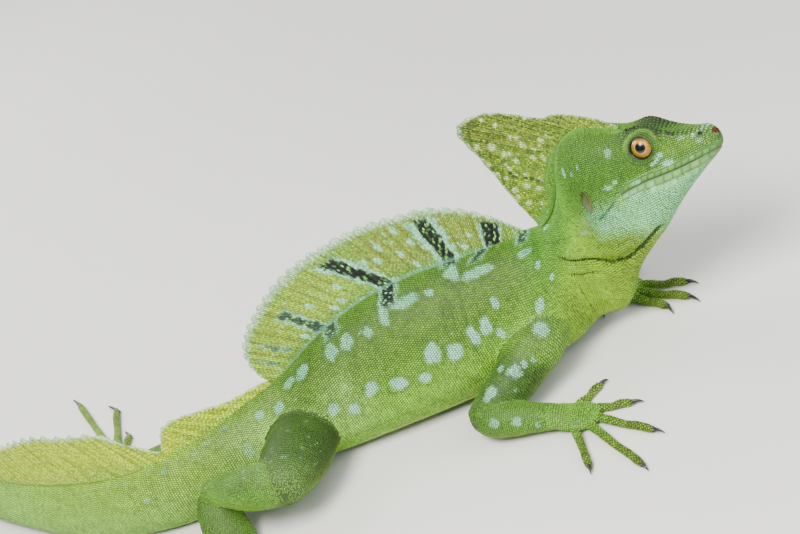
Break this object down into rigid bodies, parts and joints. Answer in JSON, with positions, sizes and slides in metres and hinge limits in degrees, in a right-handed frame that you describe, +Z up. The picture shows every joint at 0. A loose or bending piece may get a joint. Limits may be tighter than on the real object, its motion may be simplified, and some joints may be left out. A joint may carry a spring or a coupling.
{
  "type": "lizard figure",
  "caption": "Life-size model of a green basilisk lying with raised, turned head; tall sails on head, back and tail, spread toes and a long tapering tail.",
  "frame": {"origin": "on the floor under the middle of the model's box, the belly and tail resting at z = 0", "axes": "+X along the longest extent, towards the head; +Y to the animal's left; +Z up, the shortest extent"},
  "size_m": [0.6459, 0.2537, 0.0914],
  "materials": {
    "body_green": "satin, finely scaled, yellow-green to olive with pale blue spots",
    "tail_green": "satin, finely scaled, pale blue-green",
    "throat_pale": "satin, finely scaled, pale blue-green to yellow-green",
    "crest_olive": "satin membrane between rays, yellow-olive with dark bars and a pale toothed margin",
    "toe_olive": "satin, banded scales, dark horn claws",
    "eye_orange": "wet gloss, orange iris with a round dark pupil"
  },
  "bodies": {
    "root": {"head": "body_green", "lower_jaw": "throat_pale", "neck": "throat_pale", "chest": "body_green", "abdomen": "body_green", "tail_base": "tail_green", "tail_middle": "tail_green", "tail_rear": "tail_green", "tail_tip": "tail_green", "eye_left": "eye_orange", "eye_right": "eye_orange", "head_crest": "body_green", "dorsal_crest": "crest_olive", "tail_crest_front": "crest_olive", "tail_crest_middle": "crest_olive", "tail_crest_rear": "crest_olive", "right_upper_arm": "body_green", "right_forearm": "body_green", "right_hand": "toe_olive", "left_upper_arm": "body_green", "left_forearm": "body_green", "left_hand": "toe_olive", "right_thigh": "body_green", "right_shin": "body_green", "right_foot": "toe_olive", "left_thigh": "body_green", "left_shin": "body_green", "left_foot": "toe_olive"}
  },
  "joints": []
}
